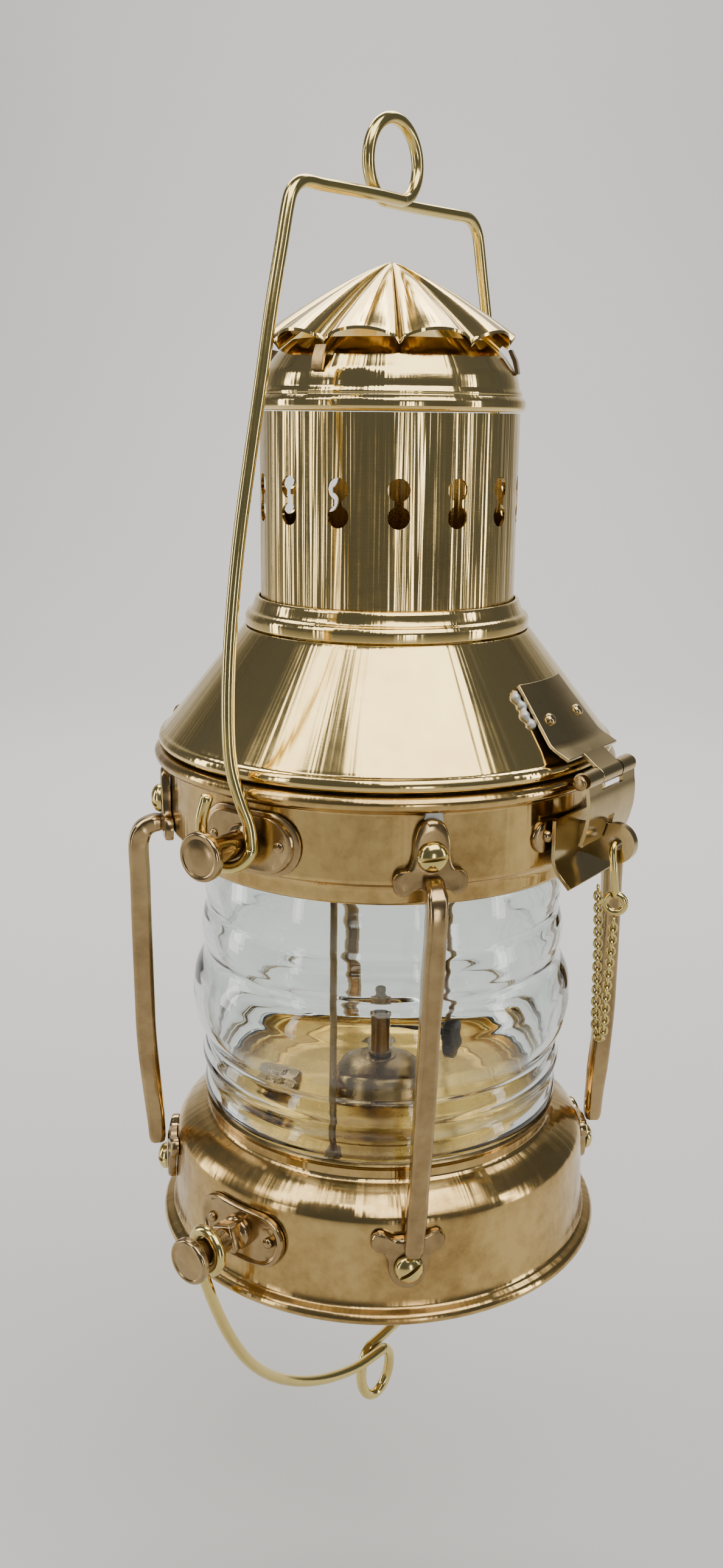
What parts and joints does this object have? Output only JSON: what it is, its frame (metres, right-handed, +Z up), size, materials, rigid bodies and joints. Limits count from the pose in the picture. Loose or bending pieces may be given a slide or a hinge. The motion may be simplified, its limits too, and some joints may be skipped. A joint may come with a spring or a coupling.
{
  "type": "ship lantern",
  "caption": "Hanging brass ship lantern with a ribbed round lens, four guard arms, a hinged vented hood and two wire bails.",
  "frame": {"origin": "the point where a hook bears inside the ring of the upper bail", "axes": "+Z up, X along both pairs of bail pegs, -Y towards the hasp, +Y towards the hood hinge"},
  "size_m": [0.1494, 0.1355, 0.3461],
  "materials": {
    "brass": "polished brass with light handling marks",
    "dark_brass": "tarnished brass",
    "lens_glass": "clear pressed glass",
    "burner_steel": "darkened steel",
    "wick_cotton": "woven cotton"
  },
  "bodies": {
    "bail": {"upper_bail": "brass"},
    "lantern": {"base_shell": "brass", "burner_tray": "brass", "burner_body": "brass", "filler_cap": "brass", "hood_band": "brass", "guard_arm_front": "brass", "guard_arm_right": "brass", "guard_arm_rear": "brass", "guard_arm_left": "brass", "bracket_upper_front": "brass", "bracket_upper_right": "brass", "bracket_upper_rear": "brass", "bracket_upper_left": "brass", "bracket_lower_front": "brass", "bracket_lower_right": "brass", "bracket_lower_rear": "brass", "bracket_lower_left": "brass", "screw_upper_front": "brass", "screw_upper_right": "brass", "screw_upper_rear": "brass", "screw_upper_left": "brass", "screw_lower_front": "brass", "screw_lower_right": "brass", "screw_lower_rear": "brass", "screw_lower_left": "brass", "trunnion_upper_left": "brass", "trunnion_upper_right": "brass", "trunnion_lower_left": "brass", "trunnion_lower_right": "brass", "hinge_leaf_band": "brass", "hasp_lug": "brass", "base_plate": "dark_brass", "oil_font": "dark_brass", "wick_tube": "dark_brass", "tie_rod_front": "dark_brass", "tie_rod_rear": "dark_brass", "hinge_pin": "dark_brass", "hook_chain": "dark_brass", "lens": "lens_glass"},
    "lower_bail": {"lower_bail": "brass"},
    "hood": {"hood_cone": "brass", "neck_ring": "brass", "chimney": "brass", "draught_dome": "brass", "cap": "brass", "cap_leg_1": "dark_brass", "cap_leg_2": "dark_brass", "cap_leg_3": "dark_brass", "cap_leg_4": "dark_brass", "hinge_leaf_hood": "brass", "hasp_plate": "brass", "hasp_pin": "dark_brass"},
    "hasp_strap": {"hasp_strap": "brass"},
    "hook": {"hasp_hook": "brass"},
    "wick": {"wick": "wick_cotton"},
    "wick_knob": {"wick_knob": "burner_steel"}
  },
  "joints": [
    {"name": "lantern_swing", "type": "hinge", "parent": "bail", "child": "lantern", "pos_m": [0, 0, -0.1588], "axis": [1, 0, 0], "range_deg": [-110, 110]},
    {"name": "lower_bail_swing", "type": "hinge", "parent": "lantern", "child": "lower_bail", "pos_m": [0, 0, -0.2603], "axis": [0.9981, -0.061, 0], "range_deg": [-88, 88]},
    {"name": "hood_hinge", "type": "hinge", "parent": "lantern", "child": "hood", "pos_m": [0, 0.0625, -0.1449], "axis": [-1, 0, 0], "range_deg": [0, 110]},
    {"name": "hasp_strap_hinge", "type": "hinge", "parent": "hood", "child": "hasp_strap", "pos_m": [0, -0.062, -0.1445], "axis": [-1, 0, 0], "range_deg": [0, 110]},
    {"name": "hook_slide", "type": "slide", "parent": "lantern", "child": "hook", "axis": [-1, 0, 0], "range_m": [0, 0.009]},
    {"name": "wick_knob_turn", "type": "hinge", "parent": "lantern", "child": "wick_knob", "pos_m": [0, 0, -0.2262], "axis": [0.2419, -0.9703, 0], "range_deg": [0, 95]},
    {"name": "wick_slide", "type": "slide", "parent": "lantern", "child": "wick", "axis": [0, 0, 1], "range_m": [0, 0.005]}
  ],
  "couplings": [
    {"joint": "wick_slide", "follows": "wick_knob_turn", "m_per_rad": 0.003}
  ]
}
